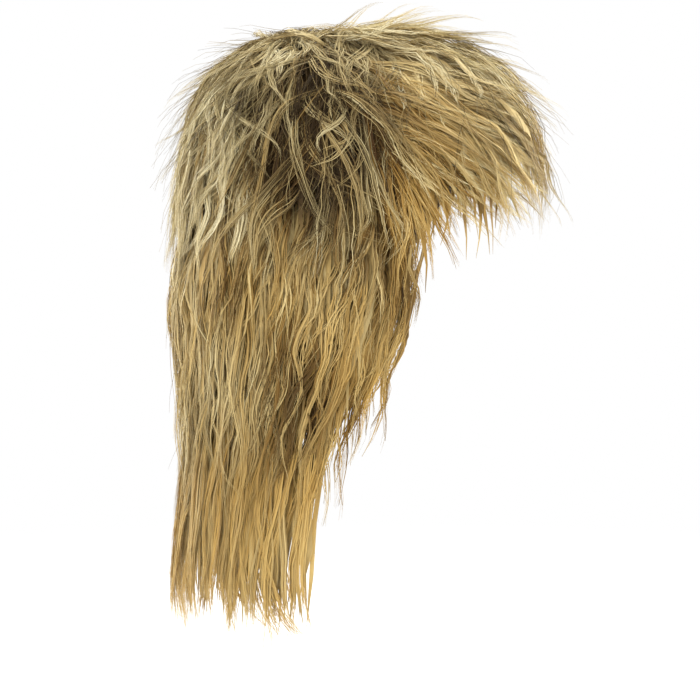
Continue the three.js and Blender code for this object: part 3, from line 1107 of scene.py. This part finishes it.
@dataclass
class Wig:
    """The pieces of hair on the cap, each with its fall and its styles of lock."""

    crown_fall: Fall = Fall((
        (-165.0, 44.0, 30.0), (-135.0, 60.0, 40.0), (-104.0, 69.0, 50.0), (-75.0, 73.0, 60.0),
        (-45.0, 71.0, 60.0), (-8.0, 61.0, 60.0), (30.0, 39.0, 60.0), (54.0, 5.0, 55.0),
        (63.0, -38.0, 45.0), (68.0, -78.0, 28.0), (71.0, -122.0, 12.0), (71.0, -165.0, 6.0),
    ))
    fringe_fall: Fall = Fall((
        (-165.0, 44.0, 30.0), (-135.0, 59.0, 40.0), (-104.0, 67.0, 50.0), (-75.0, 73.0, 60.0),
        (-42.0, 79.0, 60.0), (-8.0, 72.0, 60.0), (26.0, 49.0, 60.0), (50.0, 22.0, 55.0),
        (66.0, -8.0, 48.0), (73.0, -38.0, 40.0), (75.0, -64.0, 30.0), (70.0, -98.0, 10.0),
    ))
    back_fall: Fall = Fall((
        (38.0, -40.0, 20.0), (56.0, -75.0, 35.0), (66.0, -110.0, 42.0), (71.0, -148.0, 42.0),
        (70.0, -190.0, 40.0), (66.0, -235.0, 28.0), (64.0, -285.0, 18.0), (66.0, -340.0, 6.0),
    ))
    nape_fall: Fall = Fall((
        (5.0, -110.0, 3.0), (20.0, -160.0, 14.0), (42.0, -215.0, 26.0), (61.0, -300.0, 30.0),
        (66.0, -345.0, 30.0), (70.0, -386.0, 26.0), (71.0, -410.0, 16.0), (66.0, -444.0, 6.0),
    ))
    side_fall: Fall = Fall((
        (24.0, -40.0, 15.0), (40.0, -80.0, 28.0), (46.0, -110.0, 34.0), (50.0, -150.0, 38.0),
        (51.0, -190.0, 36.0), (50.0, -235.0, 24.0), (46.0, -280.0, 14.0), (42.0, -325.0, 6.0),
    ))
    side_filling: float = 0.4

    def crown_roots(self) -> HairPiece:
        """Gives the dark hair next to the cap, and the fine teased hair that radiates over it.

        Returns:
            The piece.
        """
        shade = Shade(
            tone=0.5, warmth=0.25, strand_spread=0.12, root_dark=0.1, patch_size=22.0, painted_depth_shade=0.02,
            zone_dark=0.46,
        )
        teased = LockStyle(
            locks=110, steps=9, members=(Member(count=8, width=0.58, thick=0.5),), azimuths=(78.0, 180.0),
            root=(0.38, 0.68), length=(0.2, 0.34), longest=0.98, shade=shade, spread=8.0, root_depth=3.0,
            fan=Fan(117.0, 0.6), sweep=0.8, wander=9.0, bend=7.0, wave=(1.0, 4.0),
            wave_length=(70.0, 150.0), frizz=1.4, crimp=(26.0, 40.0), lift=(0.0, 3.0), gather=0.8,
        )
        over = replace(
            teased, locks=74, azimuths=ALL_ROUND, root=(0.1, 0.42), length=(0.2, 0.3), fan=Fan(),
            aside=24.0, lift=(0.0, 5.0),
        )
        under = under_hair(
            260, HEAD, (0.2, 0.35), (0.5, 0.6), (8.0, 19.0), replace(FILLING, tone=0.03), aside=15.0,
        )
        cover = under_hair(
            150, (118.0, 242.0), (0.4, 0.6), (0.34, 0.46), (5.0, 15.0),
            replace(FILLING, tone=0.5, zone_dark=0.54), members=(replace(BROAD, width=4.2),),
        )
        styles = (under, cover, *both_sides(teased), over)
        return HairPiece("crown_roots", "crown_hair", self.crown_fall, styles, seed=12)

    def crown_locks(self) -> HairPiece:
        """Gives the pale teased locks that fan out over the sides of the crown.

        Returns:
            The piece.
        """
        shade = Shade(
            tone=0.44, warmth=0.2, tip_warm=0.2, root_dark=0.12, root_share=0.3, lock_spread=0.05,
            strand_spread=0.13, zone_dark=0.07,
        )
        bundle = (replace(SLIM, count=1, width=1.2), replace(FINE, count=11, width=0.6))
        placed = LockStyle(
            locks=1, steps=15, members=bundle, azimuths=(90.0, 150.0), root=(0.5, 0.6), length=(0.3, 0.3),
            shade=shade, depth=(-3.0, 0.0), root_depth=5.0, bend=0.0, wave=(0.0, 1.5),
            wave_length=(70.0, 110.0), frizz=1.0, crimp=(36.0, 60.0), spread=6.0, gather=0.45,
        )
        loops = replace(placed, members=(replace(FINE, count=5, width=0.9),), spread=3.0)
        side = LockStyle(
            locks=7, steps=13, members=(SLIM, replace(FINE, count=8, width=0.65)), azimuths=(82.0, 165.0),
            root=(0.54, 0.66), length=(0.24, 0.36), shade=replace(shade, tone=0.38, zone_dark=0.14),
            depth=(-2.0, 2.0), root_depth=6.0, fan=SIDE_FAN, sweep=0.8, bend=4.0, wave=(0.5, 3.0),
            wave_length=(100.0, 180.0),
        )
        temple = replace(
            side, locks=38, steps=9, azimuths=(58.0, 86.0), root=(0.54, 0.7), slant=0.14,
            shade=replace(shade, warmth=0.86, tone=0.27, root_dark=0.1, zone_dark=0.18), depth=(0.0, 6.0),
            fan=replace(SIDE_FAN, share=0.5, near=60.0, far=110.0), sweep=0.85, drop=1.2, wander=3.0,
            bend=2.0,
        )
        low = LockStyle(
            locks=40, steps=9, members=side.members, azimuths=(80.0, 150.0), root=(0.76, 0.92),
            length=(0.2, 0.32), shade=replace(shade, warmth=0.55, tone=0.35, root_dark=0.2, zone_dark=0.1),
            depth=(0.0, 7.0), wander=3.0, bend=1.5, wave=(1.5, 4.0), wave_length=(60.0, 100.0), frizz=1.0,
            lift=(0.0, 3.0),
        )
        under = under_hair(
            26, (46.0, 84.0), (0.5, 0.62), (0.32, 0.42), (5.0, 13.0),
            replace(FILLING, tone=0.36, warmth=0.8), slant=0.1,
        )
        styles = (
            *both_sides(under), *along_paths(placed, CROWN_PATHS), *along_paths(loops, LOOP_PATHS),
            *both_sides(side), *both_sides(temple), *both_sides(low),
        )
        return HairPiece("crown_locks", "crown_hair", self.crown_fall, styles, seed=11)

    def crown_top(self) -> HairPiece:
        """Gives the locks drawn over the top and back, and the single hairs that stand off them.

        Returns:
            The piece.
        """
        shade = Shade(
            tone=0.67, warmth=0.12, root_dark=0.15, strand_spread=0.08, zone_dark=0.28, warm_patch=0.06,
        )
        fine = replace(FINE, width=0.6)
        locks = LockStyle(
            locks=66, steps=9, members=(SLIM, fine), azimuths=ALL_ROUND, root=(0.05, 0.42),
            length=(0.2, 0.28), shade=replace(shade, tone=0.6, warmth=0.2, root_dark=0.24, root_share=0.5),
            depth=(0.0, 6.0), root_depth=4.0, wander=9.0, bend=4.0, aside=24.0, wave=(1.0, 4.0),
            wave_length=(60.0, 120.0), lift=(0.0, 6.0), frizz=1.4,
        )
        back = LockStyle(
            locks=130, steps=8, members=(replace(SLIM, count=2, width=1.3), replace(fine, count=8)),
            azimuths=(136.0, 224.0), root=(0.28, 0.74), length=(0.18, 0.3), longest=0.95,
            shade=replace(shade, tone=0.96, tip_pale=-0.16, tip_warm=0.26), depth=(0.0, 6.0),
            root_depth=7.0, wander=6.0, bend=4.0, wave=(2.0, 5.0), wave_length=(45.0, 85.0), frizz=1.3,
            crimp=(26.0, 42.0), lift=(0.0, 9.0), gather=0.45,
        )
        tufts = LockStyle(
            locks=60, steps=9, members=(replace(SLIM, count=2, width=1.4), fine), azimuths=(96.0, 264.0),
            root=(0.25, 0.6), length=(0.14, 0.26), shade=replace(shade, tone=0.66, root_dark=0.1),
            depth=(0.0, 3.0), root_depth=8.0, wander=16.0, bend=4.0, aside=15.0, wave=(1.0, 5.0),
            wave_length=(90.0, 160.0), frizz=1.0, lift=(6.0, 24.0), gather=0.12,
        )
        stray = strays(240, ALL_ROUND, (0.2, 0.6), (0.2, 0.36), (6.0, 20.0), 14.0)
        flyaway = strays(90, (146.0, 214.0), (0.2, 0.5), (0.2, 0.34), (12.0, 30.0), 10.0)
        styles = (locks, back, tufts, stray, flyaway)
        return HairPiece("crown_top", "crown_hair", self.crown_fall, styles, seed=13)

    def fringe(self) -> HairPiece:
        """Gives the hair swept forward over the brow, in short layers with lifted tips.

        Returns:
            The piece.
        """
        ribbon = replace(RIBBON, count=3, width=1.6, tone=-0.01)
        fine = replace(FINE, width=0.65, tone=0.02)
        slim = replace(SLIM, count=2, width=1.4)
        shade = Shade(
            tone=0.8, warmth=0.66, front_warmth=-0.28, front_pale=0.14, root_dark=0.12, tip_pale=0.0,
            patch=0.06, painted_depth_shade=0.005, strand_spread=0.06, warm_patch=0.13,
        )
        layers = LockStyle(
            locks=160, steps=8, members=(ribbon, fine), azimuths=BROW, root=(0.42, 0.8), length=(0.15, 0.3),
            longest=1.0, shade=replace(shade, root_dark=0.28), fan=BROW_FAN, sweep=0.8, drop=1.2,
            wander=9.0, bend=4.5, wave=(0.5, 3.5), wave_length=(70.0, 130.0), frizz=1.1,
            crimp=(28.0, 46.0), lift=(0.0, 8.0), depth=(0.0, 6.0), root_depth=10.0,
            bow=(3.0, 16.0), gather=0.25,
        )
        long_locks = replace(
            layers, locks=76, steps=9, root=(0.5, 0.74), length=(0.28, 0.44), bow=(0.0, 5.0), drop=1.4,
            wander=5.0, shade=replace(shade, tone=0.5, warmth=0.64),
        )
        top = LockStyle(
            locks=84, steps=8, members=(ribbon, fine), azimuths=(-76.0, 76.0), root=(0.15, 0.52),
            length=(0.16, 0.3), shade=replace(shade, warmth=0.32, tone=0.96, root_dark=0.04), wander=10.0,
            aside=20.0, wave=(0.5, 4.0), wave_length=(70.0, 130.0), frizz=1.1, lift=(0.0, 15.0),
            depth=(0.0, 6.0), root_depth=12.0, bow=(0.0, 6.0),
        )
        spikes = LockStyle(
            locks=34, steps=9, members=(slim, replace(FINE, width=0.65)), azimuths=(-50.0, 50.0),
            root=(0.16, 0.58), length=(0.18, 0.3),
            shade=replace(shade, tone=0.7, warmth=0.25, root_dark=0.2), wander=10.0, bend=3.0,
            wave=(0.5, 3.0), aside=20.0, lift=(10.0, 28.0), depth=(0.0, 4.0), root_depth=10.0, gather=0.1,
        )
        wisp = LockStyle(
            locks=1, steps=12, members=(slim, FINE), azimuths=BROW, root=(0.6, 0.6), length=(0.3, 0.3),
            shade=shade, spread=3.0, depth=(0.0, 4.0), root_depth=8.0, bend=0.0, gather=0.15,
            wave=(0.0, 2.0),
        )
        spiked = replace(
            wisp, lift=(20.0, 30.0), gather=0.05, root_depth=14.0,
            shade=replace(shade, tone=0.74, warmth=0.2, root_dark=0.3),
        )
        stray = strays(150, BROW, (0.3, 0.7), (0.2, 0.36), (4.0, 24.0), 12.0)
        under = under_hair(
            150, BROW, (0.3, 0.5), (0.42, 0.56), (13.0, 24.0), replace(FILLING, tone=0.66),
            fan=BROW_FAN, sweep=0.8, drop=1.5, longest=0.96,
        )
        cover = under_hair(
            160, (-68.0, 68.0), (0.12, 0.4), (0.46, 0.6), (11.0, 21.0),
            replace(FILLING, tone=0.62, warmth=0.35), members=(replace(BROAD, width=5.5),), aside=20.0,
            longest=0.96,
        )
        ends = replace(
            under, locks=110, members=(replace(BROAD, width=6.0, taper=0.75),), root=(0.5, 0.65),
            length=(0.32, 0.42), depth=(7.0, 19.0), drop=1.3, longest=0.99,
        )
        styles = (
            under, cover, ends, layers, long_locks, top, spikes, stray,
            *along_paths(wisp, BROW_PATHS), *along_paths(spiked, SPIKE_PATHS),
        )
        return HairPiece("fringe_locks", "fringe", self.fringe_fall, styles, seed=21)

    def back(self) -> HairPiece:
        """Gives the upper long layer at the back.

        Returns:
            The piece.
        """
        ribbon = replace(RIBBON, width=2.6, tone=-0.02)
        shade = Shade(
            tone=0.52, warmth=0.54, front_warmth=0.34, front_pale=-0.12, root_dark=0.15, lock_spread=0.05,
            strand_spread=0.02, patch=0.08, zone=MIDDLE, zone_dark=0.05, zone_contrast=1.9,
        )
        locks = LockStyle(
            locks=118, steps=14, members=(ribbon, replace(FINE, tone=0.01)), azimuths=BACK,
            root=(0.0, 0.35), length=(0.65, 1.0), longest=1.08, shade=shade, wander=6.0, bend=3.0,
            wave=(2.5, 6.5), wave_length=(75.0, 125.0), spread=6.0, depth=(0.0, 9.0),
        )
        stray = strays(60, BACK, (0.2, 0.6), (0.3, 0.5), (3.0, 12.0), 5.0)
        wisp = wisps(190, BACK, (0.15, 0.7), (0.3, 0.44), replace(shade, tone=0.58, root_dark=0.1))
        under = under_hair(
            190, BACK, (0.0, 0.15), (0.7, 0.88), (5.0, 14.0),
            replace(FILLING, tone=0.54, zone=MIDDLE, zone_dark=0.24), members=(replace(BROAD, taper=0.45),),
            uneven=0.15,
        )
        styles = (under, locks, stray, wisp)
        return HairPiece("back_locks", "back_hair", self.back_fall, styles, seed=31)

    def nape(self) -> HairPiece:
        """Gives the longest layer, down to the ends.

        Returns:
            The piece.
        """
        ribbon = replace(RIBBON, count=3, width=2.3, streaks=0.005, tip_width=0.12, tone=-0.01)
        fine = replace(FINE, width=0.75, taper=0.6, tip_width=0.2, tone=0.01)
        shade = Shade(
            tone=0.53, warmth=0.74, front_warmth=0.2, root_dark=0.04, tip_pale=0.07, tip_warm=0.16,
            patch=0.05, painted_depth_shade=0.002, lock_spread=0.025, strand_spread=0.02,
        )
        locks = LockStyle(
            locks=130, steps=14, members=(ribbon, fine), azimuths=NAPE, root=(0.1, 0.5), length=(0.7, 0.95),
            longest=1.0, uneven=0.06, shade=shade, wander=3.5, wave=(1.0, 4.0), wave_length=(80.0, 140.0),
            frizz=0.4, spread=5.5, depth=(0.0, 9.0), gather=0.5,
        )
        tail = replace(
            locks, locks=9, steps=13, path=TAIL_PATH, wander=6.0, depth=(0.0, 10.0), root_depth=12.0,
            shade=replace(shade, root_dark=0.0),
        )
        flick = replace(tail, locks=4, steps=12, path=FLICK_PATH, wander=5.0, lift=(2.0, 13.0), gather=0.15)
        filling = replace(
            FILLING, tone=0.55, warmth=0.74, root_dark=0.0, tip_pale=0.07, lock_spread=0.03,
        )
        under = under_hair(
            250, NAPE, (0.0, 0.06), (0.9, 0.98), (5.0, 17.0), filling,
            members=(replace(BROAD, width=5.0, taper=0.82),), longest=0.98, uneven=0.03,
        )
        styles = (under, locks, *both_sides(tail), *both_sides(flick))
        return HairPiece("nape_locks", "nape_hair", self.nape_fall, styles, seed=41)

    def side(self, name: str, node: str, azimuths: Span, seed: int) -> HairPiece:
        """Gives the locks by one ear.

        Args:
            name: the piece's name.
            node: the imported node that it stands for.
            azimuths: the first and last azimuth.
            seed: its own scatter.

        Returns:
            The piece.
        """
        shade = Shade(
            tone=0.32, warmth=0.7, front_pale=0.2, tip_pale=0.2, root_dark=0.15, strand_spread=0.04,
        )
        locks = LockStyle(
            locks=40, steps=14, members=(replace(RIBBON, width=2.6), FINE), azimuths=azimuths,
            root=(0.0, 0.3), length=(0.72, 0.92), slant=0.14, shade=shade, wander=3.0, wave=(2.0, 5.0),
            depth=(0.0, 9.0), lift=(0.0, 3.0),
        )
        wisp = replace(wisps(34, azimuths, (0.2, 0.5), (0.3, 0.42), shade), slant=0.1, wander=3.0)
        first, last = azimuths
        inner = (first + (last - first) * self.side_filling, last)
        under = under_hair(
            44, inner, (0.0, 0.15), (0.7, 0.85), (12.0, 24.0), replace(FILLING, tone=0.44), slant=0.15,
        )
        return HairPiece(name, node, self.side_fall, (under, locks, wisp), seed)

    def pieces(self) -> list[HairPiece]:
        """Lists the pieces of hair from the inside outwards.

        Returns:
            The pieces.
        """
        return [
            self.nape(),
            self.back(),
            self.side("side_locks_left", "side_hair_left", (79.0, 105.0), seed=51),
            self.side("side_locks_right", "side_hair_right", (-79.0, -105.0), seed=52),
            self.crown_roots(),
            self.crown_locks(),
            self.crown_top(),
            self.fringe(),
        ]


@dataclass
class Studio:
    """A pale floor, soft lights and a camera at the photograph's angle. Lengths are in metres."""

    floor_height: float = -0.514
    floor_radius: float = 1.3
    floor_sides: int = 96
    floor_finish: FloorFinish = field(default_factory=FloorFinish)
    light_height: float = -0.18
    azimuth: float = 258.0
    elevation: float = 3.0
    distance: float = 2.2
    frame_width: float = 0.616
    aim_right: float = -0.0088
    aim_up: float = -0.2068
    sensor: float = 36.0
    backdrop: float = 1.0
    surround: float = 1.05

    def build(self) -> None:
        """Makes the floor, the lights, the surround and the camera."""
        self.floor()
        self.lights()
        self.world()
        self.camera()
        bpy.context.scene.view_settings.view_transform = "Standard"

    def facing(self) -> tuple[Vector, Vector, Vector]:
        """Finds the camera's directions.

        Returns:
            The directions to the camera, to the image's right and up.
        """
        a, e = math.radians(self.azimuth), math.radians(self.elevation)
        back = Vector((math.sin(a) * math.cos(e), -math.cos(a) * math.cos(e), math.sin(e)))
        right = Vector((math.cos(a), math.sin(a), 0.0))
        return back, right, back.cross(right)

    def floor(self) -> None:
        """Makes a pale round floor below the wig."""
        bpy.ops.object.select_all(action="DESELECT")
        bpy.ops.mesh.primitive_circle_add(
            vertices=self.floor_sides, radius=self.floor_radius, fill_type="NGON",
        )
        floor = bpy.context.active_object
        floor.name = "floor"
        floor.location.z = self.floor_height
        floor.data.materials.append(self.floor_finish.build(self.floor_radius))

    def lights(self) -> None:
        """Hangs large soft lights round the wig."""
        back, right, up = self.facing()
        middle = Vector((0.0, 0.0, self.light_height))
        table = (
            ("key", back * 1.8 - right * 0.5 + up * 0.7, 1.4, 13.0),
            ("fill", back * 1.3 + right * 1.6 + up * 0.5, 1.4, 12.0),
            ("top", up * 1.6 + right * 0.7 - back * 0.2, 1.2, 16.0),
            ("rear_left", -back * 0.9 - right * 1.5 + up * 0.4, 1.4, 24.0),
            ("rear_right", -back * 0.9 + right * 1.5 + up * 0.4, 1.4, 21.0),
        )
        for name, offset, size, power in table:
            data = bpy.data.lights.new(name, "AREA")
            data.shape = "DISK"
            data.size = size
            data.energy = power
            lamp = bpy.data.objects.new(name, data)
            lamp.location = middle + offset
            lamp.rotation_euler = offset.to_track_quat("Z", "Y").to_euler()
            bpy.context.scene.collection.objects.link(lamp)

    def world(self) -> None:
        """Makes a white backdrop that lights the wig with a strength of its own."""
        world = bpy.data.worlds.new("surround")
        world.use_nodes = True
        nodes = Nodes(world.node_tree)
        output = nodes.add("ShaderNodeOutputWorld")
        white = (1.0, 1.0, 1.0, 1.0)
        shown = nodes.add("ShaderNodeBackground", {"Color": white, "Strength": self.backdrop})
        glow = nodes.add("ShaderNodeBackground", {"Color": white, "Strength": self.surround})
        path = nodes.add("ShaderNodeLightPath")
        blend = nodes.add("ShaderNodeMixShader")
        nodes.wire(
            (path, "Is Camera Ray", blend, "Fac"),
            (glow, "Background", blend, 1),
            (shown, "Background", blend, 2),
            (blend, "Shader", output, "Surface"),
        )
        bpy.context.scene.world = world

    def camera(self) -> None:
        """Sets the camera at the photograph's angle, distance and framing."""
        back, right, up = self.facing()
        aim = right * self.aim_right + up * self.aim_up
        data = bpy.data.cameras.new("camera")
        data.sensor_width = self.sensor
        data.lens = self.sensor * self.distance / self.frame_width
        camera = bpy.data.objects.new("camera", data)
        camera.location = aim + back * self.distance
        camera.rotation_euler = back.to_track_quat("Z", "Y").to_euler()
        bpy.context.scene.collection.objects.link(camera)
        bpy.context.scene.camera = camera


def main() -> None:
    """Builds the cap, the hair and the studio, and reports each piece."""
    logging.basicConfig(level=logging.INFO, format="%(name)s: %(message)s")
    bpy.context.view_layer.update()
    made = [WigCap().build()]
    made += [piece.build() for piece in Wig().pieces()]
    for piece in made:
        piece.data.calc_loop_triangles()
        LOG.info("%s: %d triangles", piece.name, len(piece.data.loop_triangles))
    Studio().build()


if __name__ == "__main__":
    main()
